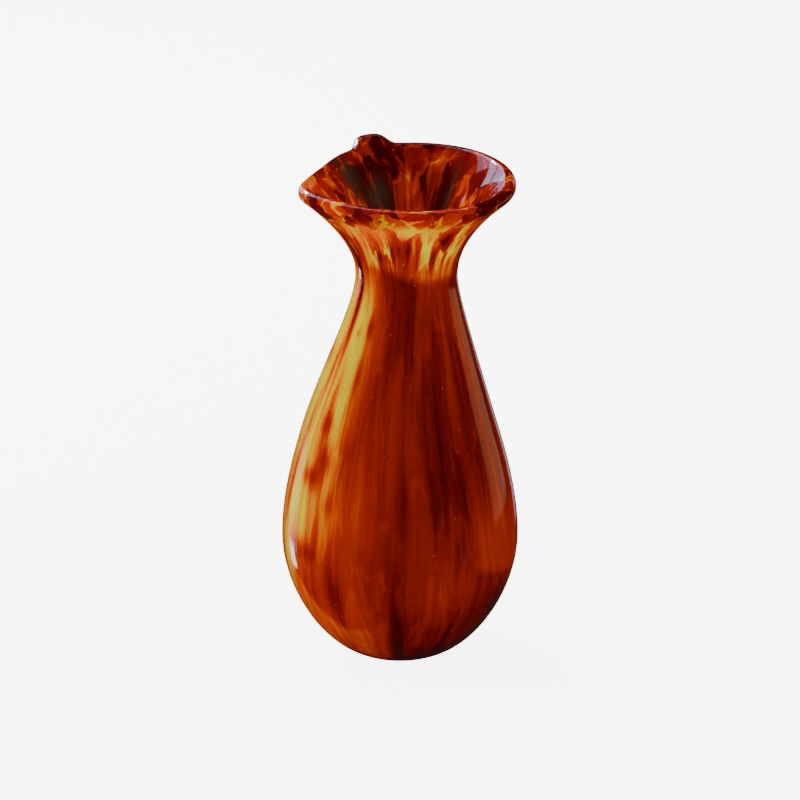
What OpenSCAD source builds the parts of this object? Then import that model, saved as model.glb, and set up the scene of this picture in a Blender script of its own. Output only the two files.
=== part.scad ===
// Hand blown glass vase: a clear core bubble, one mosaic layer of coloured glass chips
// picked up on it, and a clear casing gathered over the chips and ground flat at the foot.
// The three layers share one grid of stations (up the wall) and columns (round it), so
// every piece meets its neighbours face to face.

/* [Height] */
// Height of the centre of the lip bead
mouth_h = 229; // [190:1:280]
// Height of the widest part of the belly
belly_h = 57; // [45:1:75]
// Height of the flare, from the narrowest part of the neck to the lip bead
flare_h = 43; // [34:1:55]

/* [Width] */
// Diameter of the ground foot
foot_d = 42; // [32:1:54]
// Diameter of the belly
belly_d = 111.4; // [90:0.2:136]
// Outer diameter of the neck
neck_d = 47; // [38:1:58]
// Diameter of the ring that the centre of the lip bead follows
mouth_d = 93; // [76:1:112]

/* [Glass] */
// Thickness of the clear casing
casing_t = 1.9; // [1.5:0.1:2.5]
// Thickness of the layer of coloured chips
frit_t = 0.6; // [0.4:0.1:0.9]
// Thickness of the clear core bubble
core_t = 1.5; // [1.2:0.1:2]
// Thickness of the glass over the foot
foot_t = 9; // [7:0.5:12]
// Diameter of the rounded lip bead
lip_d = 6.5; // [5:0.1:8]
// Height over which the thick base thins to the wall
base_blend = 45; // [30:1:60]
// Height over which the wall swells to the lip bead, full of chips
lip_blend = 14; // [10:1:20]

/* [Outline] */
// Angle of the outline where it leaves the foot
foot_angle = 12; // [5:1:25]
// Angle of the flare at the lip bead
flare_angle = 44.5; // [35:0.5:55]
// Roundness of the lower belly, at the foot and at the belly
lower_round = [0.30, 0.44]; // [0.1:0.01:0.6]
// Roundness of the shoulder, at the belly and at the neck
shoulder_round = [0.352, 0.163]; // [0.1:0.001:0.45]
// Roundness of the flare, at the neck and at the lip
flare_round = [0.48, 0.08]; // [0.05:0.01:0.55]

/* [Hand-worked mouth] */
// How far the neck leans to the side and to the back
lean = [3, 2.5]; // [0:0.5:5]
// Height at which the lean starts
lean_h = 110; // [90:1:130]
// How much higher the back of the mouth stands than its centre
mouth_tilt = 1.2; // [0:0.1:3]
// Direction of the pulled spout
spout_angle = 110; // [60:10:150]
// How far the spout is pulled out
spout_reach = 5.8; // [0:0.2:10]
// How far the spout is pulled up
spout_lift = 3.5; // [0:0.5:6]
// Half width of the spout, as an angle
spout_half = 10; // [7:1:20]
// How far the side of the mouth beside the spout is pressed in
side_press = 6.5; // [0:0.5:9]
// How far the front of the mouth is pressed in
front_press = 4.5; // [0:0.5:7]
// How far the corner between side and front is pulled out
corner_pull = 3; // [0:0.5:6]
// How far the side across from the pressed one is pulled out
far_pull = 1.5; // [0:0.5:4]

/* [Base and chips] */
// Diameter of the clear eye at the middle of the base, with no chips
eye_d = 22; // [18:1:26]
// Diameter of the polished hollow where the punty broke off
punty_d = 16; // [12:1:17]
// Depth of the polished hollow
punty_depth = 1.2; // [0.6:0.1:1.5]
// Columns of chips round the vase
columns = 36; // [24:6:48]
// How far the sides of the chips wander, as a share of a column
sway = 0.22; // [0:0.01:0.3]

/* [Hidden] */

wall_t = casing_t + frit_t + core_t;
neck_h = mouth_h - flare_h;
lip_r = lip_d / 2;
column_angle = 360 / columns;
OUTER = 0;       // outside of the casing
FRIT_OUT = 1;    // casing against chips
FRIT_IN = 2;     // chips against core
INNER = 3;       // inside of the core

// Stations on the four stretches of the wall, and the angles of those on the bead
lower_rows = 4;
shoulder_rows = 6;
flare_rows = 6;
bead_angles = [19, 38];
cap_angles = [64, 90, 116];
belly_row = 1 + lower_rows;
flare_end_row = belly_row + shoulder_rows + flare_rows;

// Unit vectors along the flare at the lip, and across its wall from outside to inside
along = [cos(flare_angle), sin(flare_angle)];
across = [-sin(flare_angle), cos(flare_angle)];
bead_centre = [mouth_d / 2, mouth_h];
bead_start = bead_centre - lip_r * across;

// 0 to 1 between a and b, level at both ends
function smooth(a, b, x) =
    let (t = min(1, max(0, (x - a) / (b - a))))
    t * t * (3 - 2 * t);

// Cubic Bezier curve: its point and its direction
function bezier(p, u) =
    let (v = 1 - u)
    v * v * v * p[0] + 3 * u * v * v * p[1] + 3 * u * u * v * p[2] + u * u * u * p[3];
function bezier_way(p, u) =
    let (v = 1 - u)
    v * v * (p[1] - p[0]) + 2 * u * v * (p[2] - p[1]) + u * u * (p[3] - p[2]);

// Outside of the wall as [radius, height], from the foot to the lip bead
lower_curve = let (foot = [foot_d / 2, 0], belly = [belly_d / 2, belly_h])
    [foot, foot + lower_round[0] * belly_h * [cos(foot_angle), sin(foot_angle)],
     belly - [0, lower_round[1] * belly_h], belly];
shoulder_curve = let (belly = [belly_d / 2, belly_h], neck = [neck_d / 2, neck_h],
                      rise = neck_h - belly_h)
    [belly, belly + [0, shoulder_round[0] * rise], neck - [0, shoulder_round[1] * rise], neck];
flare_curve = let (neck = [neck_d / 2, neck_h])
    [neck, neck + [0, flare_round[0] * flare_h],
     bead_start - flare_round[1] * flare_h * along, bead_start];

// Glass over the plain wall: clear glass in the thick base, and chips heaped up in the lip bead
function base_extra(z) = (foot_t - wall_t) * (1 - smooth(0, base_blend, z));
function lip_extra(z) =
    (lip_d - wall_t) * smooth(bead_start[1] - lip_blend, bead_start[1], z);

// The four faces of the wall at one station: point p on the outside, n its inward normal
function faces_at(p, n) =
    let (casing = casing_t + base_extra(p[1]) / 2,
         frit = frit_t + lip_extra(p[1]),
         wall = wall_t + base_extra(p[1]) + lip_extra(p[1]))
    [p, p + n * casing, p + n * (casing + frit), p + n * wall];

function curve_stations(curve, rows) =
    [for (i = [1:rows])
        let (u = i / rows, way = bezier_way(curve, u))
        faces_at(bezier(curve, u), [-way[1], way[0]] / norm(way))];

// Round of the bead: 0 is its outer side, 90 its tip and 180 its inner side
function bead(angle) = bead_centre + lip_r * (sin(angle) * along - cos(angle) * across);
function bead_station(angle) =
    let (outer_line = bead_centre + lip_r * (sin(angle) * along - across))
    [bead(angle), outer_line + casing_t * across,
     outer_line + (lip_d - core_t) * across, bead(180 - angle)];

stations = concat(
    [faces_at([eye_d / 2, 0], [0, 1]), faces_at([foot_d / 2, 0], [0, 1])],
    curve_stations(lower_curve, lower_rows),
    curve_stations(shoulder_curve, shoulder_rows),
    curve_stations(flare_curve, flare_rows),
    [for (angle = bead_angles) bead_station(angle)]);
top_row = len(stations) - 1;

// Hump of height 1 in direction at, falling away over the angle half. A power of 4 gives it a flat top
function hump(a, at, half, power = 2) =
    let (off = (a - at + 540) % 360 - 180)
    exp(-pow(abs(off / half), power));

// How far the worked mouth stands outside a round one, in direction a
function swell(a) =
    spout_reach * hump(a, spout_angle, spout_half, 4)
    - side_press * hump(a, 157, 30)
    + corner_pull * hump(a, 197, 17)
    - front_press * hump(a, 250, 45)
    + far_pull * hump(a, 55, 30);

// A point of the wall in space: the neck leans, and the mouth is worked out of round
function placed(p, a) =
    let (worked = smooth(neck_h, mouth_h - lip_d, p[1]),
         leant = smooth(lean_h, neck_h, p[1]),
         r = p[0] + worked * swell(a),
         lift = mouth_tilt * r * sin(a) / (mouth_d / 2)
                + spout_lift * hump(a, spout_angle, spout_half, 4))
    [r * cos(a) + lean[0] * leant, r * sin(a) + lean[1] * leant, p[1] + worked * lift];

// Azimuth of the line between two columns, which wanders except at the belly and the lip
function azimuth(i, j) =
    let (freedom = i > flare_end_row ? 0
                 : pow(sin(180 * (i - belly_row) / (flare_end_row - belly_row)), 2))
    column_angle * (j + sway * freedom * sin(137 * j + 50 * i));

GRID = [for (s = [OUTER:INNER]) [for (i = [0:top_row]) [for (j = [0:columns - 1])
    placed(stations[i][s], azimuth(i, j))]]];
CAP = [for (angle = cap_angles) [for (j = [0:columns - 1])
    placed(bead(angle), azimuth(top_row, j))]];

function at(s, i, j) = GRID[s][i][j % columns];

// Two triangles over four corners, seen clockwise; the second form faces the other way
function panel(a, b, c, d) = [[a, b, c], [a, c, d]];
function panel_back(a, b, c, d) = [[a, c, b], [a, d, c]];

// Panels of the wall's faces, of its ends across a layer, and of its sides across a layer
function face_out(s, i, j) = panel(at(s, i, j), at(s, i + 1, j), at(s, i + 1, j + 1), at(s, i, j + 1));
function face_in(s, i, j) =
    panel_back(at(s, i, j), at(s, i + 1, j), at(s, i + 1, j + 1), at(s, i, j + 1));
function end_up(s, i, j) =
    panel_back(at(s, i, j), at(s, i, j + 1), at(s + 1, i, j + 1), at(s + 1, i, j));
function end_down(s, i, j) =
    panel(at(s, i, j), at(s, i, j + 1), at(s + 1, i, j + 1), at(s + 1, i, j));
function side_first(s, i, j) =
    panel_back(at(s, i, j), at(s, i + 1, j), at(s + 1, i + 1, j), at(s + 1, i, j));
function side_last(s, i, j) =
    panel(at(s, i, j), at(s, i + 1, j), at(s + 1, i + 1, j), at(s + 1, i, j));

// Flat disc over the eye of the base, facing down or up
function eye_disc(s, up) =
    [for (j = [0:columns - 1])
        let (middle = [0, 0, at(s, 0, 0)[2]])
        up ? [middle, at(s, 0, j + 1), at(s, 0, j)] : [middle, at(s, 0, j), at(s, 0, j + 1)]];

function flat_list(lists) = [for (l = lists) for (item = l) item];

// Rounded top of the bead, from the outer face at the top row over to the inner face
function cap_panels() =
    let (rings = concat([GRID[OUTER][top_row]], CAP, [GRID[INNER][top_row]]))
    flat_list([for (k = [0:len(rings) - 2]) for (j = [0:columns - 1])
        let (n = (j + 1) % columns)
        panel(rings[k][j], rings[k + 1][j], rings[k + 1][n], rings[k][n])]);

module solid(triangles) {
    polyhedron(points = flat_list(triangles),
               faces = [for (k = [0:len(triangles) - 1]) [3 * k, 3 * k + 1, 3 * k + 2]]);
}

// Rows where chips end, in even and in odd columns: short at the lip, long on the body.
// No end lines up with one in the next column.
even_ends = [0, 2, 5, 8, 11, 13, 15, 17, top_row];
odd_ends = [0, 1, 3, 7, 10, 12, 14, 16, 18, top_row];
function chip_ends(j) = j % 2 == 0 ? even_ends : odd_ends;

// Colour class of chip k in column j. Chips that touch never share a class.
RUBY = 0;
ORANGE = 1;
RUSSET = 2;
SCARLET = 3;
YELLOW = 4;
AMBER = 5;
SMOKE = 6;
function chip_class(j, k) =
    let (class = (j + 2 * k) % 6)
    class == RUSSET && (7 * j + 3 * k) % 4 == 0 ? SMOKE : class;

// One chip: a single column wide, from row low to row high
function chip(j, low, high) = flat_list(concat(
    [for (i = [low:high - 1]) each [face_out(FRIT_OUT, i, j), face_in(FRIT_IN, i, j),
        side_first(FRIT_OUT, i, j), side_last(FRIT_OUT, i, j + 1)]],
    [end_down(FRIT_OUT, low, j), end_up(FRIT_OUT, high, j)]));

module frit(class) {
    solid(flat_list([for (j = [0:columns - 1])
        let (ends = chip_ends(j))
        for (k = [0:len(ends) - 2])
            if (chip_class(j, k) == class) chip(j, ends[k], ends[k + 1])]));
}

module casing_gather() {
    columns_all = [0:columns - 1];
    solid(concat(
        flat_list([for (i = [0:top_row - 1]) for (j = columns_all) face_out(OUTER, i, j)]),
        cap_panels(),
        flat_list([for (s = [FRIT_OUT, FRIT_IN]) for (j = columns_all) end_down(s, top_row, j)]),
        flat_list([for (i = [0:top_row - 1]) for (j = columns_all) face_in(FRIT_OUT, i, j)]),
        flat_list([for (j = columns_all) end_up(FRIT_OUT, 0, j)]),
        eye_disc(OUTER, false),
        eye_disc(FRIT_IN, true)));
}

module clear_casing() {
    hollow_r = (pow(punty_d / 2, 2) + pow(punty_depth, 2)) / (2 * punty_depth);
    color("#e8eef0", 0.3)
    difference() {
        casing_gather();
        translate([0, 0, punty_depth - hollow_r]) sphere(r = hollow_r, $fn = 96);
    }
}

module ruby_frit() { color("#6e0b06") frit(RUBY); }
module orange_frit() { color("#d25a0a") frit(ORANGE); }
module russet_frit() { color("#82260c") frit(RUSSET); }
module scarlet_frit() { color("#b4230f") frit(SCARLET); }
module yellow_frit() { color("#e6c83c") frit(YELLOW); }
module amber_frit() { color("#d98a1c") frit(AMBER); }
module smoke_frit() { color("#2f2a22") frit(SMOKE); }

module clear_core() {
    columns_all = [0:columns - 1];
    color("#e8eef0", 0.3)
    solid(concat(
        flat_list([for (i = [0:top_row - 1]) for (j = columns_all) face_out(FRIT_IN, i, j)]),
        flat_list([for (j = columns_all) end_up(FRIT_IN, top_row, j)]),
        flat_list([for (i = [0:top_row - 1]) for (j = columns_all) face_in(INNER, i, j)]),
        eye_disc(FRIT_IN, false),
        eye_disc(INNER, true)));
}

clear_casing();
ruby_frit();
orange_frit();
russet_frit();
scarlet_frit();
yellow_frit();
amber_frit();
smoke_frit();
clear_core();
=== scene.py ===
"""Hand blown glass vase: a clear core bubble, a mosaic of melted glass chips on it, and a clear casing.

Every surface is a section through the wall, given as radius and height in millimetres, carried round
the vase's axis and then bent by the hand-worked mouth. Meshes are made in metres.
"""

import bpy
import numpy as np
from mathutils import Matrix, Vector


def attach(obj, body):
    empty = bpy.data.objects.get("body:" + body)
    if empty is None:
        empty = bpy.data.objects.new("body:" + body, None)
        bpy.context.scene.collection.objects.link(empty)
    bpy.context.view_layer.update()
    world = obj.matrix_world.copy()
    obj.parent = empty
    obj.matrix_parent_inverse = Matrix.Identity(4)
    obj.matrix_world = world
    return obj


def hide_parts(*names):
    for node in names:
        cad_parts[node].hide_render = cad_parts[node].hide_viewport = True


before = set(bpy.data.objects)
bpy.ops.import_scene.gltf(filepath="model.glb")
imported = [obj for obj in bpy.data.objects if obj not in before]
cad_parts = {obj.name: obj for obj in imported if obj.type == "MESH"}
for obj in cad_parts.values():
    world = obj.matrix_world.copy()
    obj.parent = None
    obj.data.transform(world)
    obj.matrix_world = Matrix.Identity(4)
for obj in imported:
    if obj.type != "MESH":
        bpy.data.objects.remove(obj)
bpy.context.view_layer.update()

MM = 0.001

# ---- Sizes of the vase, in millimetres and degrees -------------------------------------------------

MOUTH_H = 229.0      # height of the centre of the lip bead
BELLY_H = 57.0       # height of the widest part
FLARE_H = 43.0       # neck to lip bead
NECK_H = MOUTH_H - FLARE_H
FOOT_R = 21.0
BELLY_R = 55.7
NECK_R = 23.5
MOUTH_R = 46.5       # ring that the centre of the bead follows
CASING_T = 1.9
FRIT_T = 0.6
CORE_T = 1.5
WALL_T = CASING_T + FRIT_T + CORE_T
FOOT_T = 9.0
LIP_R = 3.25
BASE_BLEND = 45.0
LIP_BLEND = 14.0
FOOT_ANGLE = 12.0
FLARE_ANGLE = 44.5
LOWER_ROUND = (0.30, 0.44)       # roundness at the foot and at the belly
SHOULDER_ROUND = (0.352, 0.163)  # at the belly and at the neck
FLARE_ROUND = (0.48, 0.08)       # at the neck and at the lip
EYE_R = 11.0         # clear eye in the middle of the base
PUNTY_R = 8.0        # polished hollow under the foot
PUNTY_DEPTH = 1.2
LEAN = (3.0, 2.5)    # the neck leans to the right and to the back
LEAN_H = 110.0
MOUTH_TILT = 1.2
SPOUT_ANGLE = 110.0
SPOUT_REACH = 5.8
SPOUT_LIFT = 3.45
SPOUT_HALF = 10.0
# The rest of the worked mouth: direction, half width in degrees, and how far it is pulled out
PULLS = (
    (157, 30, -6.5),     # the side beside the spout, pressed in
    (197, 17, 3.0),      # the corner
    (250, 45, -4.5),     # the front, pressed in
    (55, 30, 1.5),       # the far side
)
MELT_GAP = 0.03      # keeps the mosaic's faces just clear of the glass faces fused to them

COLUMNS = 192        # round the vase
FOOT_ROWS = 9        # rings on the flat foot
FINE = 150           # rings up a polished face
PLAIN = 60           # rings up a fused face
CHIP_ROWS = 160      # rings up the layer of chips
BEAD_END = 38.0      # angle at which the sides of the bead stop and its cap begins
END_ROUND = 0.75     # how far the round end of the chips reaches under the lip
CHIPS_ROUND = 28     # chips of frit round the gather
LIP_CHIP = 8.0       # width of a chip where it is heaped in the lip


def smooth(a, b, x):
    """0 below a, 1 above b, and the cubic 3tt - 2ttt between."""
    t = np.clip((x - a) / (b - a), 0, 1)
    return t * t * (3 - 2 * t)


def way(angle):
    """Unit vector at an angle in degrees from level."""
    return np.array([np.cos(np.radians(angle)), np.sin(np.radians(angle))])


ALONG = way(FLARE_ANGLE)                 # up the flare at the lip
ACROSS = np.array([-ALONG[1], ALONG[0]])  # through its wall, from outside to inside
BEAD = np.array([MOUTH_R, MOUTH_H])
BEAD_START = BEAD - LIP_R * ACROSS


def bezier(points, rows):
    """Points and unit inward normals of a cubic Bezier curve, at even steps of its parameter."""
    p = [np.asarray(q, float) for q in points]
    u = np.linspace(0, 1, rows + 1)[1:, None]
    v = 1 - u
    place = v**3 * p[0] + 3 * u * v**2 * p[1] + 3 * u**2 * v * p[2] + u**3 * p[3]
    along = v**2 * (p[1] - p[0]) + 2 * u * v * (p[2] - p[1]) + u**2 * (p[3] - p[2])
    along /= np.linalg.norm(along, axis=1)[:, None]
    return place, np.stack([-along[:, 1], along[:, 0]], axis=1)


def wall_outside(rows):
    """The outside of the wall from the eye of the base to the start of the bead, with its normals.

    Three Bezier curves: foot to belly, belly to neck, and neck to lip. The foot itself is flat.
    """
    foot, belly, neck = (FOOT_R, 0), (BELLY_R, BELLY_H), (NECK_R, NECK_H)
    rise = NECK_H - BELLY_H
    lower = [foot, np.array(foot) + LOWER_ROUND[0] * BELLY_H * way(FOOT_ANGLE),
             (BELLY_R, (1 - LOWER_ROUND[1]) * BELLY_H), belly]
    shoulder = [belly, (BELLY_R, BELLY_H + SHOULDER_ROUND[0] * rise),
                (NECK_R, NECK_H - SHOULDER_ROUND[1] * rise), neck]
    flare = [neck, (NECK_R, NECK_H + FLARE_ROUND[0] * FLARE_H),
             BEAD_START - FLARE_ROUND[1] * FLARE_H * ALONG, BEAD_START]
    radii = np.linspace(EYE_R, FOOT_R, FOOT_ROWS)
    places = [np.stack([radii, radii * 0], axis=1)]
    normals = [np.tile([0.0, 1.0], (FOOT_ROWS, 1))]
    for curve, share in ((lower, 0.27), (shoulder, 0.5), (flare, 0.23)):
        place, normal = bezier(curve, round(rows * share))
        places.append(place)
        normals.append(normal)
    return np.concatenate(places), np.concatenate(normals)


def wall_faces(rows):
    """The four faces of the wall, station by station: outside, casing to chips, chips to core, inside.

    Each is the outside moved inwards along its normal. The base is thickened with clear glass and the
    lip with chips. The last five stations run up the two sides of the bead to BEAD_END.
    """
    place, normal = wall_outside(rows)
    height = place[:, 1:]
    base = (FOOT_T - WALL_T) * (1 - smooth(0, BASE_BLEND, height))
    lip = (2 * LIP_R - WALL_T) * smooth(BEAD_START[1] - LIP_BLEND, BEAD_START[1], height)
    casing = CASING_T + base / 2
    frit = FRIT_T + lip
    faces = [place, place + normal * casing, place + normal * (casing + frit),
             place + normal * (WALL_T + base + lip)]
    angle = np.linspace(0, BEAD_END, 6)[1:]
    line = BEAD + LIP_R * (np.sin(np.radians(angle))[:, None] * ALONG - ACROSS)
    ends = [bead(angle), line + CASING_T * ACROSS, line + (2 * LIP_R - CORE_T) * ACROSS, bead(180 - angle)]
    return [np.concatenate(pair) for pair in zip(faces, ends)]


def bead(angle):
    """Round of the lip bead: 0 degrees is its outer side, 90 its tip and 180 its inner side."""
    a = np.radians(np.atleast_1d(angle))[:, None]
    return BEAD + LIP_R * (np.sin(a) * ALONG - np.cos(a) * ACROSS)


def hump(azimuth, at, half, power=2):
    """Hump of height 1 in one direction: exp of minus a power of the angle over half, flatter for 4."""
    off = (azimuth - at + 540) % 360 - 180
    return np.exp(-np.abs(off / half) ** power)


def placed(section, azimuth):
    """Section points carried round to each azimuth, with the neck's lean and the worked mouth.

    The mouth is a ring pulled out at the spout, at the corner across the front and at the far side,
    and pressed in beside the spout and at the front. All of it fades out down to the neck.
    """
    r, z = section[:, 0, None], section[:, 1, None]
    a = np.radians(azimuth)[None, :]
    spout = hump(azimuth, SPOUT_ANGLE, SPOUT_HALF, 4)
    swell = SPOUT_REACH * spout + sum(far * hump(azimuth, at, half) for at, half, far in PULLS)
    worked = smooth(NECK_H, MOUTH_H - 2 * LIP_R, z)
    leant = smooth(LEAN_H, NECK_H, z)
    wide = r + worked * swell[None, :]
    lift = MOUTH_TILT * wide * np.sin(a) / MOUTH_R + SPOUT_LIFT * spout
    x = wide * np.cos(a) + LEAN[0] * leant
    y = wide * np.sin(a) + LEAN[1] * leant
    return np.stack([x, y, np.broadcast_to(z + worked * lift, x.shape)], axis=-1)


def carry_round(name, section, materials, slots=None, looped=False, sharp=()):
    """A closed mesh: the section's points carried round the axis in rings, joined by four-sided faces.

    A point on the axis is one pole. A looped section joins its last ring to its first. slots gives the
    material of the band after each ring, and the rings in sharp keep a hard edge.
    """
    azimuth = np.arange(COLUMNS) * 360.0 / COLUMNS
    rings = placed(section, azimuth)
    on_axis = section[:, 0] < 1e-6
    size = np.where(on_axis, 1, COLUMNS)
    first = np.concatenate([[0], np.cumsum(size)])
    points = np.concatenate([ring[:1] if pole else ring for ring, pole in zip(rings, on_axis)])
    ring_of = np.repeat(np.arange(len(section)), size)
    column = np.arange(COLUMNS)
    following = (column + 1) % COLUMNS
    faces, face_slots = [], []
    count = len(section)
    for k in range(count if looped else count - 1):
        n = (k + 1) % count
        low, high = first[k] + column * (size[k] > 1), first[n] + column * (size[n] > 1)
        low_next, high_next = first[k] + following * (size[k] > 1), first[n] + following * (size[n] > 1)
        if on_axis[k]:
            band = np.stack([low, high_next, high], axis=1)
        elif on_axis[n]:
            band = np.stack([low, low_next, high], axis=1)
        else:
            band = np.stack([low, low_next, high_next, high], axis=1)
        faces += band.tolist()
        face_slots += [slots[k] if slots is not None else 0] * COLUMNS
    mesh = bpy.data.meshes.new(name)
    mesh.from_pydata((points * MM).tolist(), [], faces)
    mesh.polygons.foreach_set("material_index", face_slots)
    mesh.polygons.foreach_set("use_smooth", np.ones(len(faces), bool))
    ends = np.empty(len(mesh.edges) * 2, int)
    mesh.edges.foreach_get("vertices", ends)
    edge_rings = ring_of[ends.reshape(-1, 2)]
    hard = (edge_rings[:, 0] == edge_rings[:, 1]) & np.isin(edge_rings[:, 0], list(sharp))
    mesh.edges.foreach_set("use_edge_sharp", hard)
    for material in materials:
        mesh.materials.append(material)
    mesh.update()
    piece = bpy.data.objects.new(name, mesh)
    bpy.context.scene.collection.objects.link(piece)
    return piece, ring_of


def attribute(piece, name, values):
    """Stores one number or one vector per point for the materials to read."""
    kind, field = ("FLOAT_VECTOR", "vector") if values.ndim == 2 else ("FLOAT", "value")
    layer = piece.data.attributes.new(name, kind, "POINT")
    layer.data.foreach_set(field, values.astype(np.float32).ravel())


# ---- Materials -------------------------------------------------------------------------------------

def colour(text):
    """sRGB hex to the linear colour that a shader takes."""
    parts = [int(text[i:i + 2], 16) / 255 for i in (1, 3, 5)]
    return tuple(c / 12.92 if c <= 0.04045 else ((c + 0.055) / 1.055) ** 2.4 for c in parts) + (1.0,)


def new_material(name):
    material = bpy.data.materials.new(name)
    material.use_nodes = True
    material.node_tree.nodes.clear()
    return material, material.node_tree


def add(tree, kind, inputs=None, **settings):
    """Adds one node: settings are its own properties, inputs its sockets by name or number."""
    made = tree.nodes.new("ShaderNode" + kind)
    for key, value in settings.items():
        setattr(made, key, value)
    for key, value in (inputs or {}).items():
        if isinstance(value, bpy.types.NodeSocket):
            tree.links.new(value, made.inputs[key])
        else:
            made.inputs[key].default_value = value
    return made


def show(tree, shader):
    add(tree, "OutputMaterial", {"Surface": shader})


def polished_glass(name):
    """Clear soda-lime glass, fire polished: sharp, slightly wavy reflections over what is inside it.

    Lamps and scattered light pass straight through to the colour under it.
    """
    material, tree = new_material(name)
    place = add(tree, "TexCoord").outputs["Object"]
    drawn = add(tree, "Mapping", {"Vector": place, "Scale": (1.0, 1.0, 0.35)})
    # The surface rolls by hundredths of a millimetre over about 30 mm, longer up the vase than round it
    roll = add(tree, "TexNoise", {"Vector": drawn.outputs[0], "Scale": 34.0, "Detail": 1.0})
    waves = add(tree, "Bump", {"Height": roll.outputs[0], "Strength": 0.3, "Distance": 0.0014})
    glass = add(tree, "BsdfPrincipled", {
        "Base Color": colour("#ffffff"), "Roughness": 0.02, "IOR": 1.5, "Transmission Weight": 1.0,
        "Normal": waves.outputs[0]})
    through = add(tree, "BsdfTransparent", {"Color": colour("#fbfbfb")})
    path = add(tree, "LightPath")
    surface = glass.outputs[0]
    for ray in ("Is Shadow Ray", "Is Diffuse Ray"):
        mix = add(tree, "MixShader", {0: path.outputs[ray], 1: surface, 2: through.outputs[0]})
        surface = mix.outputs[0]
    show(tree, surface)
    return material


def fused_face(name):
    """Where one gather melted onto the next: no surface is left to see."""
    material, tree = new_material(name)
    show(tree, add(tree, "BsdfTransparent", {"Color": colour("#ffffff")}).outputs[0])
    return material


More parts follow.
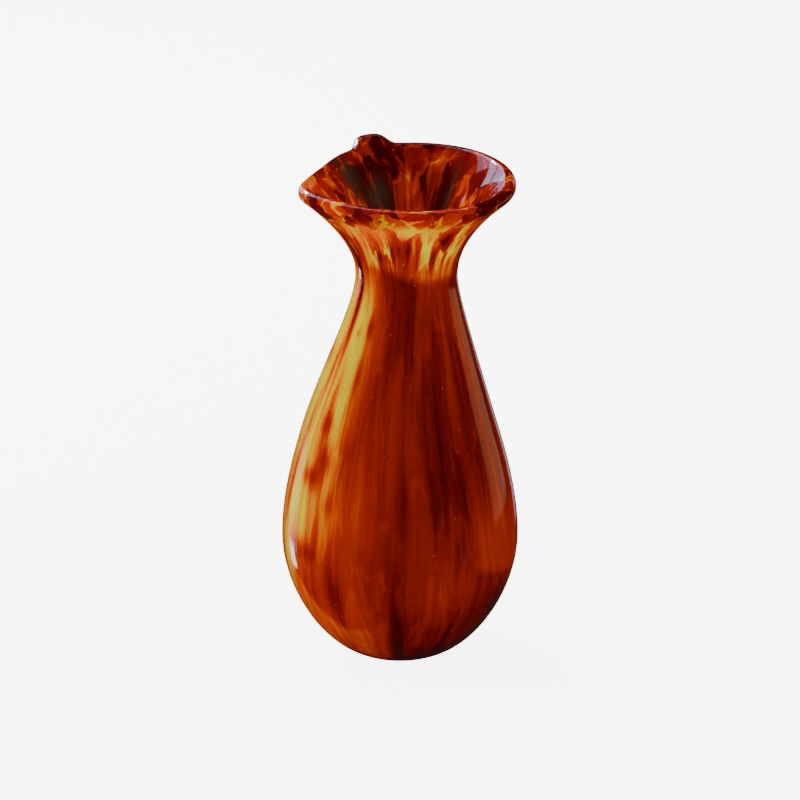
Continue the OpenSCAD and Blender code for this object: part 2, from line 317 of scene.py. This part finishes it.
def melted_frit(name):
    """Coarse frit picked up hot and drawn out by blowing: crisp chips at the lip, soft streaks below.

    Attributes: "gather" is each point's place before the glass was blown out, one unit to a chip.
    "warmth" is how far the colour has gone from dark red (0) to yellow (1), "spread" how much one chip
    differs from the next, "drawn" is 0 where chips keep their edges and 1 where they are drawn out,
    "streaks" is how strong the lines along the draw are, "rim" how brightly the thin glass between two
    chips shows, "thin" how much light comes through from the other side, and "smoke" is grey glass.
    "warmth" holds the chips' own colours and also painted light and painted shade: the lit front of the
    flare, the lit left side, light at the lower left, and shade inside the far side of the mouth.
    """
    material, tree = new_material(name)

    def stored(field, output="Fac"):
        return add(tree, "Attribute", attribute_name=field).outputs[output]

    def sums(operation, a, b, c=0.0):
        return add(tree, "Math", {0: a, 1: b, 2: c}, operation=operation).outputs[0]

    gather, warmth, drawn = stored("gather", "Vector"), stored("warmth"), stored("drawn")
    # Chips wander sideways by up to half a chip
    wander = add(tree, "TexNoise", {"Vector": gather, "Scale": 0.8, "Detail": 3.0})
    middle = add(tree, "VectorMath", {0: wander.outputs["Color"], 1: (0.5, 0.5, 0.5)}, operation="SUBTRACT")
    bent = add(tree, "VectorMath", {0: middle.outputs[0], 1: (1.3, 1.3, 1.3), 2: gather},
               operation="MULTIPLY_ADD").outputs[0]
    soft = sums("MULTIPLY", drawn, 0.9)
    chips = add(tree, "TexVoronoi", {"Vector": bent, "Scale": 1.0, "Smoothness": soft}, feature="SMOOTH_F1")
    pick = add(tree, "SeparateColor", {0: chips.outputs["Color"]}).outputs[0]
    # The gap between neighbours is a hair line that opens in places to a fifth of a chip
    gap = add(tree, "TexVoronoi", {"Vector": bent, "Scale": 1.0}, feature="DISTANCE_TO_EDGE")
    opened = add(tree, "TexNoise", {"Vector": bent, "Scale": 1.7, "Detail": 1.0})
    width = add(tree, "MapRange", {0: opened.outputs[0], 1: 0.45, 2: 0.72, 3: 0.004, 4: 0.26})
    edge = add(tree, "MapRange", {0: gap.outputs["Distance"], 1: 0.0, 2: width.outputs[0], 3: 1.0, 4: 0.0},
               interpolation_type="SMOOTHSTEP")
    # Broad streaks a quarter of a chip wide and fine ones a fifteenth, both long
    broad = add(tree, "Mapping", {"Vector": bent, "Scale": (2.2, 2.2, 0.5)})
    broad = add(tree, "TexNoise", {"Vector": broad.outputs[0], "Scale": 1.0, "Detail": 2.0})
    fine = add(tree, "Mapping", {"Vector": gather, "Scale": (9.0, 9.0, 0.8)})
    fine = add(tree, "TexNoise", {"Vector": fine.outputs[0], "Scale": 1.0, "Detail": 3.0, "Roughness": 0.6})
    level = sums("MULTIPLY_ADD", sums("SUBTRACT", pick, 0.5), stored("spread"), warmth)
    streak = sums("MULTIPLY_ADD", sums("SUBTRACT", fine.outputs[0], 0.5), 0.42,
                  sums("SUBTRACT", broad.outputs[0], 0.5))
    level = sums("MULTIPLY_ADD", streak, stored("streaks"), level)
    level = sums("MULTIPLY_ADD", edge.outputs[0], stored("rim"), level)
    ramp = add(tree, "ValToRGB", {"Fac": level})
    stops = ((0.0, "#540300"), (0.15, "#7e0a00"), (0.32, "#a61e00"), (0.48, "#bc3400"), (0.62, "#d45800"),
             (0.76, "#e48c00"), (0.88, "#e6b400"), (1.0, "#e2d600"))
    band = ramp.color_ramp
    band.elements[0].position, band.elements[0].color = stops[0][0], colour(stops[0][1])
    band.elements[1].position, band.elements[1].color = stops[-1][0], colour(stops[-1][1])
    for position, shade in stops[1:-1]:
        band.elements.new(position).color = colour(shade)
    tint = add(tree, "Mix", {0: stored("smoke"), 6: ramp.outputs[0], 7: colour("#4a483c")},
               data_type="RGBA").outputs[2]
    # Seed: a painted highlight of trapped air every 7 mm or so, a pale speck drawn as large as 0.6 mm so
    # that it shows
    place = add(tree, "TexCoord").outputs["Object"]
    seed = add(tree, "TexVoronoi", {"Vector": place, "Scale": 150.0})
    painted_bubble_glint = add(tree, "MapRange", {0: seed.outputs["Distance"], 1: 0.045, 2: 0.02, 3: 0.0, 4: 0.55})
    tint = add(tree, "Mix", {0: painted_bubble_glint.outputs[0], 6: tint, 7: colour("#f0c8a0")},
               data_type="RGBA").outputs[2]
    body = add(tree, "BsdfPrincipled", {"Base Color": tint, "Roughness": 0.6, "Specular IOR Level": 0.0})
    # Light that has come through the wall is deeper in colour than light thrown back by it
    deep = add(tree, "VectorMath", {0: tint, 1: (0.70, 0.78, 0.08)}, operation="MULTIPLY")
    glow = add(tree, "BsdfTranslucent", {"Color": deep.outputs[0]})
    both = add(tree, "MixShader", {0: stored("thin"), 1: body.outputs[0], 2: glow.outputs[0]})
    show(tree, both.outputs[0])
    return material


# ---- The three layers ------------------------------------------------------------------------------

clear = polished_glass("clear soda-lime glass, fire polished")
fused = fused_face("clear glass, fused joint")
frit = melted_frit("coarse coloured frit, melted and drawn")


def casing():
    """The outer gather: hollow, foot, outside and lip bead polished, and its inside fused to the chips."""
    outside = wall_faces(FINE)[0]
    inner = wall_faces(PLAIN)
    hollow_r = np.linspace(0, PUNTY_R, 7)
    hollow = np.stack([hollow_r, PUNTY_DEPTH * (1 - (hollow_r / PUNTY_R) ** 2)], axis=1)
    cap = bead(np.linspace(BEAD_END, 180 - BEAD_END, 13)[1:])
    fused_path = np.concatenate([inner[2][-1:], inner[1][::-1], inner[2][:1], [[0, inner[2][0, 1]]]])
    section = np.concatenate([hollow, outside, cap, fused_path])
    rim = len(hollow) + len(outside) + len(cap) - 1
    slots = np.where(np.arange(len(section)) < rim, 0, 1)
    # Sharp rings: round the hollow, round the ground foot, and where the polish ends inside
    sharp = (len(hollow) - 1, len(hollow) + FOOT_ROWS - 1, rim)
    piece, _ = carry_round("clear_casing_glass", section, [clear, fused], slots, sharp=sharp)
    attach(piece, "root")
    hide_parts("clear_casing")


def core():
    """The first bubble: its outside fused to the chips, its inside fire polished."""
    inside = wall_faces(FINE)[3]
    outer = wall_faces(PLAIN)[2]
    section = np.concatenate([[[0, outer[0, 1]]], outer, inside[::-1], [[0, inside[0, 1]]]])
    rim = len(outer) + 1
    slots = np.where(np.arange(len(section)) < rim, 1, 0)
    piece, _ = carry_round("clear_core_glass", section, [clear, fused], slots, sharp=(rim,))
    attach(piece, "root")
    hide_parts("clear_core")


def chip_length(height):
    """How long a chip is drawn at each height: 11 mm at the lip, 34 at the neck, 60 on the body."""
    return (26 + 34 * smooth(0, 45, height) - 26 * smooth(120, NECK_H, height)
            - 23 * smooth(NECK_H + 20, MOUTH_H - 4, height))


# How far the colour runs to yellow (plus) or to dark red (minus), and by how much: the chips' own colours,
# with painted light and painted shade where marked.
# Each zone: azimuth, height, half width in degrees, half height in mm, strength
WARM_ZONES = (
    # the left side runs to yellow and gold: yellow chips, with painted sunlight on the lit left side over
    # them
    (186, 125, 20, 80, 0.66),
    (190, 165, 14, 30, 0.25),
    (221, 166, 15, 26, 0.66),
    (223, 124, 12, 30, 0.36),
    (209, 112, 14, 48, 0.28),
    (223, 80, 16, 24, 0.30),
    (204, 68, 14, 22, 0.24),
    # red and scarlet chips in it
    (232, 167, 4, 5, -0.36),
    (219, 163, 3, 3, -0.30),
    (231, 147, 3, 7, -0.25),
    (216, 122, 5, 5, -0.38),
    (221, 107, 6, 8, -0.42),
    (212, 97, 8, 5, -0.45),
    (229, 88, 4, 7, -0.30),
    (236, 112, 3, 10, -0.20),
    (224, 74, 3, 8, -0.22),
    (214, 62, 10, 5, -0.36),
    (182, 148, 10, 5, -0.30),
    # one dark thread down the left
    (208, 184, 3.0, 14, -0.60),
    (205, 164, 3.0, 14, -0.45),
    (200, 142, 3.0, 16, -0.45),
    (196, 116, 3.0, 18, -0.42),
    (193, 90, 3.0, 18, -0.35),
    # brown streaks beside them
    (232, 96, 13, 40, 0.13),
    (248, 84, 8, 34, 0.20),
    (256, 130, 5, 30, 0.06),
    (230, 46, 14, 13, -0.12),
    # dark field in the middle
    (268, 38, 4, 30, -0.16),
    (272, 92, 4, 16, -0.15),
    (293, 96, 7, 12, -0.08),
    (302, 120, 24, 60, -0.03),
    # the flare, with painted shade inside the far side of the mouth and painted light under the front of
    # the lip
    (212, 206, 9, 14, -0.10),
    (297, 202, 3.5, 9, -0.65),
    (303, 212, 3.5, 9, -0.50),
    (89, 214, 2.5, 9, 0.40),
    (70, 227, 6, 4, 0.50),
    # painted shade: the inside of the far side of the mouth, turned away from the light
    (85, 215, 60, 17, -0.20),
    # painted light: the front of the flare under the lip, lit through the wall
    (275, 222, 45, 5, 0.15),
    (310, 112, 30, 50, -0.07),
    (250, 55, 22, 16, -0.06),
)
SMOKE_ZONES = (
    (118, 209, 12, 7, 0.95),
    (141, 222, 9, 9, 0.90),
    (54, 214, 2.5, 12, 0.60),
)


def zones(table, azimuth, height):
    """Sum of the zones, each a round hump in azimuth and in height."""
    total = np.zeros(np.broadcast(azimuth, height).shape)
    for at, middle, half, tall, strength in table:
        total += strength * hump(azimuth, at, half) * np.exp(-((height - middle) / tall) ** 2)
    return total


def between(value, low, high, soft):
    """1 between low and high and 0 outside them, over twice soft at either end."""
    return smooth(low - soft, low + soft, value) * (1 - smooth(high - soft, high + soft, value))


def fields(azimuth, height):
    """Warmer and darker fields with a definite edge, some of them painted light: products of smooth steps
    across their edges.
    """
    # Painted light: the front of the flare, lit through the mouth from inside, down to a line that dips
    # towards the right, which is the painted edge of the far lip's shadow
    line = 197 - 8 * smooth(225, 300, azimuth)
    flare = (0.35 * between(azimuth, 220, 336, 8) * smooth(line - 3, line + 3, height)
             * (1 - smooth(221, 229, height)))
    # Painted light: gold under a hollow curve at the lower left, as far as an upright edge left of the
    # middle
    curve = 27 + 0.02 * (azimuth - 242) ** 2
    gold = (0.30 * (1 - 0.55 * smooth(212, 262, azimuth)) * between(azimuth, 196, 262, 3)
            * (1 - smooth(curve - 3, curve + 2, height)))
    amber = 0.09 * between(azimuth, 236, 262, 4) * between(height, 30, 62, 10)
    # Darker at the lower right, under a brown field with a slanting lower edge
    slant = 57 - 0.28 * (azimuth - 308)
    dark = -0.17 * between(azimuth, 264, 350, 2) * (1 - smooth(24, 52, height))
    brown = (0.20 * between(azimuth, 309, 352, 4) * smooth(slant - 3, slant + 2, height)
             * (1 - smooth(66, 96, height)))
    base = -0.2 * (1 - smooth(5, 12, height))
    return flare + gold + amber + dark + brown + base


def mosaic():
    """The chips: one melted layer from the eye of the base to just under the tip of the lip."""
    faces = wall_faces(CHIP_ROWS)
    outer, inner = faces[1], faces[2]
    across = inner - outer
    across /= np.linalg.norm(across, axis=1)[:, None]
    outer = outer + MELT_GAP * across
    inner = inner - MELT_GAP * across
    # Round end under the lip: half an ellipse from one face over to the other
    middle, reach = (outer[-1] + inner[-1]) / 2, (inner[-1] - outer[-1]) / 2
    turn = np.radians(np.linspace(0, 180, 11)[1:-1])[:, None]
    end = middle - reach * np.cos(turn) + END_ROUND * ALONG * np.sin(turn)
    section = np.concatenate([outer, end, inner[::-1]])
    piece, ring_of = carry_round("frit_mosaic", section, [frit], looped=True)
    # Length up the wall in chips, the same on both faces
    step = np.linalg.norm(np.diff(faces[0], axis=0), axis=1)
    length = chip_length((faces[0][1:, 1] + faces[0][:-1, 1]) / 2)
    up = np.concatenate([[0], np.cumsum(step / length)])
    end_up = up[-1] + 0.07 * np.sin(turn[:, 0])
    up = np.concatenate([up, end_up, up[::-1]])[ring_of]
    # Chips are solid: how deep a point lies under the outer face also moves it through them
    thick = np.linalg.norm(inner - outer, axis=1)
    depth = np.concatenate([thick * 0, thick[-1] / 2 * (1 - np.cos(turn[:, 0])), thick[::-1]])[ring_of]
    height = section[ring_of, 1]
    azimuth = np.tile(np.arange(COLUMNS) * 360.0 / COLUMNS, len(section))
    turned = np.radians(azimuth)
    radius = CHIPS_ROUND / (2 * np.pi) - depth / LIP_CHIP
    lip = smooth(MOUTH_H - 22, MOUTH_H - 6, height)
    flare = smooth(NECK_H + 2, NECK_H + 22, height)
    # The far side of the mouth is denser glass, in long plain chips
    back = zones(((85, 215, 70, 24, 1.0),), azimuth, height)
    # The gold side is streakier than the dark front
    side = zones(((212, 115, 22, 60, 1.0),), azimuth, height)
    recipe = {
        "gather": np.stack([radius * np.cos(turned), radius * np.sin(turned), up], axis=1),
        "warmth": 0.27 + zones(WARM_ZONES, azimuth, height) + fields(azimuth, height),
        "spread": 0.27 + 0.35 * flare,
        "streaks": 0.34 + 1.43 * flare - 1.5 * lip - 0.95 * back * (1 - lip) + 0.85 * side,
        "drawn": 1 - 0.55 * flare - 0.35 * lip + 0.2 * back,
        "rim": 0.09 + 0.50 * flare - 0.20 * back - 0.10 * lip,
        "thin": 0.38 + 0.17 * flare - 0.25 * back,
        "smoke": np.clip(zones(SMOKE_ZONES, azimuth, height), 0, 1),
    }
    for field, values in recipe.items():
        attribute(piece, field, values)
    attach(piece, "root")
    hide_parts("ruby_frit", "orange_frit", "russet_frit", "scarlet_frit", "yellow_frit",
                "amber_frit", "smoke_frit")


casing()
core()
mosaic()

# ---- Studio ----------------------------------------------------------------------------------------

FLOOR_REACH = 3.0    # metres each way
FLOOR_GLOW = 6.3     # the light table, as the eye sees it
PALE = 7.5           # the wall behind it, as the eye sees it
SOFT = 0.95          # light that the room gives from all sides
DIM = 0.03           # the room as the polish mirrors it
PATCH_EDGE = 1.5     # half width in degrees of the soft edge of a mirrored patch
# What the polish mirrors: windows, pale things low at the left, a brown table low at the right.
# Each patch: azimuth, half width, lowest and highest elevation in degrees, colour, strength
PATCHES = (
    (100, 60, 54, 74, "#dcd6ff", 1.3),
    (130, 24, 26, 60, "#dcd6ff", 2.6),
    (114, 2, 4, 46, "#d6d0ff", 5.0),
    (123, 3, 2, 46, "#d6d0ff", 4.0),
    (134, 3, 8, 46, "#d6d0ff", 5.0),
    (141, 8, -24, -9, "#ffe2d6", 1.2),
    (140, 3, -30, -23, "#ffffff", 7.0),
    (30, 15, -15, 0, "#c99a72", 1.4),
    (68, 4, -22, 12, "#dcdcdc", 0.8),
)
CAMERA_DOWN = 23     # degrees
CAMERA_FAR = 1.5     # metres from the vase


def sight(tree):
    """The light path node, and 1 where the camera looks, straight or through the glass, else 0."""
    path = add(tree, "LightPath")
    seen = add(tree, "Math", {0: path.outputs["Is Camera Ray"], 1: path.outputs["Is Transmission Ray"]},
               operation="MAXIMUM")
    return path, seen.outputs[0]


def light_table():
    """The floor: matt and pale, and brighter to the eye than the light it throws on the glass."""
    far = FLOOR_REACH
    mesh = bpy.data.meshes.new("floor")
    mesh.from_pydata([(-far, -far, 0), (far, -far, 0), (far, far, 0), (-far, far, 0)], [], [(0, 1, 2, 3)])
    piece = bpy.data.objects.new("floor", mesh)
    bpy.context.scene.collection.objects.link(piece)
    material, tree = new_material("floor")
    matt = add(tree, "BsdfPrincipled", {"Base Color": colour("#f4f3f1"), "Roughness": 0.9,
                                        "Specular IOR Level": 0.1})
    strength = add(tree, "Math", {0: sight(tree)[1], 1: FLOOR_GLOW}, operation="MULTIPLY")
    shine = add(tree, "Emission", {"Color": colour("#ffffff"), "Strength": strength.outputs[0]})
    show(tree, add(tree, "AddShader", {0: matt.outputs[0], 1: shine.outputs[0]}).outputs[0])
    mesh.materials.append(material)
    piece.visible_glossy = False


def reflected_patch(tree, facing, azimuth, half, low, high, tint, strength):
    """Soft-edged panel far off: half its width round an azimuth, between two elevations, in degrees."""
    a = np.radians(azimuth)
    level = add(tree, "VectorMath", {0: facing, 1: (1.0, 1.0, 0.0)}, operation="MULTIPLY")
    level = add(tree, "VectorMath", {0: level.outputs[0]}, operation="NORMALIZE")
    near = add(tree, "VectorMath", {0: level.outputs[0], 1: (float(np.cos(a)), float(np.sin(a)), 0.0)},
               operation="DOT_PRODUCT")
    rise = add(tree, "SeparateXYZ", {0: facing}).outputs[2]
    edge = PATCH_EDGE
    cuts = ((near.outputs["Value"], np.cos(np.radians(half + 2 * edge)), np.cos(np.radians(half))),
            (rise, np.sin(np.radians(low - edge)), np.sin(np.radians(low + edge))),
            (rise, np.sin(np.radians(high + edge)), np.sin(np.radians(high - edge))))
    share = strength
    for value, start, end in cuts:
        cut = add(tree, "MapRange", {0: value, 1: float(start), 2: float(end)},
                  interpolation_type="SMOOTHSTEP")
        share = add(tree, "Math", {0: share, 1: cut.outputs[0]}, operation="MULTIPLY").outputs[0]
    return add(tree, "Background", {"Color": colour(tint), "Strength": share}).outputs[0]


def lamp(name, azimuth, elevation, distance, size, watts, tint, gloss):
    """Square lamp facing the middle of the vase. gloss says if the polish mirrors it."""
    light = bpy.data.lights.new(name, "AREA")
    light.energy = watts
    light.color = colour(tint)[:3]
    light.shape = "SQUARE"
    light.size = size
    piece = bpy.data.objects.new(name, light)
    bpy.context.scene.collection.objects.link(piece)
    a, e = np.radians(azimuth), np.radians(elevation)
    away = Vector((np.cos(a) * np.cos(e), np.sin(a) * np.cos(e), np.sin(e)))
    piece.location = Vector((0, 0, 0.12)) + distance * away
    piece.rotation_euler = away.to_track_quat("Z", "Y").to_euler()
    piece.visible_camera = False
    piece.visible_glossy = gloss


def studio():
    """A bright key from the back left, soft light from the left, and a pale room."""
    lamp("key", 122, 37, 1.4, 0.14, 21, "#ffeeda", gloss=True)
    lamp("left", 172, 22, 1.3, 0.6, 11, "#fff2e0", gloss=False)
    light_table()
    world = bpy.data.worlds.new("pale room")
    world.use_nodes = True
    tree = world.node_tree
    tree.nodes.clear()
    facing = add(tree, "TexCoord").outputs["Generated"]
    room = add(tree, "Background", {"Color": colour("#fff0e6"), "Strength": DIM}).outputs[0]
    for patch in PATCHES:
        room = add(tree, "AddShader", {0: room, 1: reflected_patch(tree, facing, *patch)}).outputs[0]
    path, seen = sight(tree)
    pale = add(tree, "Background", {"Color": colour("#ffffff"), "Strength": PALE})
    soft = add(tree, "Background", {"Color": colour("#fff6ee"), "Strength": SOFT})
    light = add(tree, "MixShader", {0: path.outputs["Is Glossy Ray"], 1: soft.outputs[0], 2: room})
    both = add(tree, "MixShader", {0: seen, 1: light.outputs[0], 2: pale.outputs[0]})
    add(tree, "OutputWorld", {"Surface": both.outputs[0]})
    bpy.context.scene.world = world


def camera():
    """Long lens from the front, looking 23 degrees down."""
    lens = bpy.data.cameras.new("camera")
    lens.lens = 145.1
    lens.sensor_width = 36
    piece = bpy.data.objects.new("camera", lens)
    bpy.context.scene.collection.objects.link(piece)
    down = np.radians(CAMERA_DOWN)
    piece.location = (0, -CAMERA_FAR * np.cos(down), 0.115 + CAMERA_FAR * np.sin(down))
    aim = Vector((0, 0, 0.1243)) - piece.location
    piece.rotation_euler = aim.to_track_quat("-Z", "Y").to_euler()
    bpy.context.scene.camera = piece


studio()
camera()
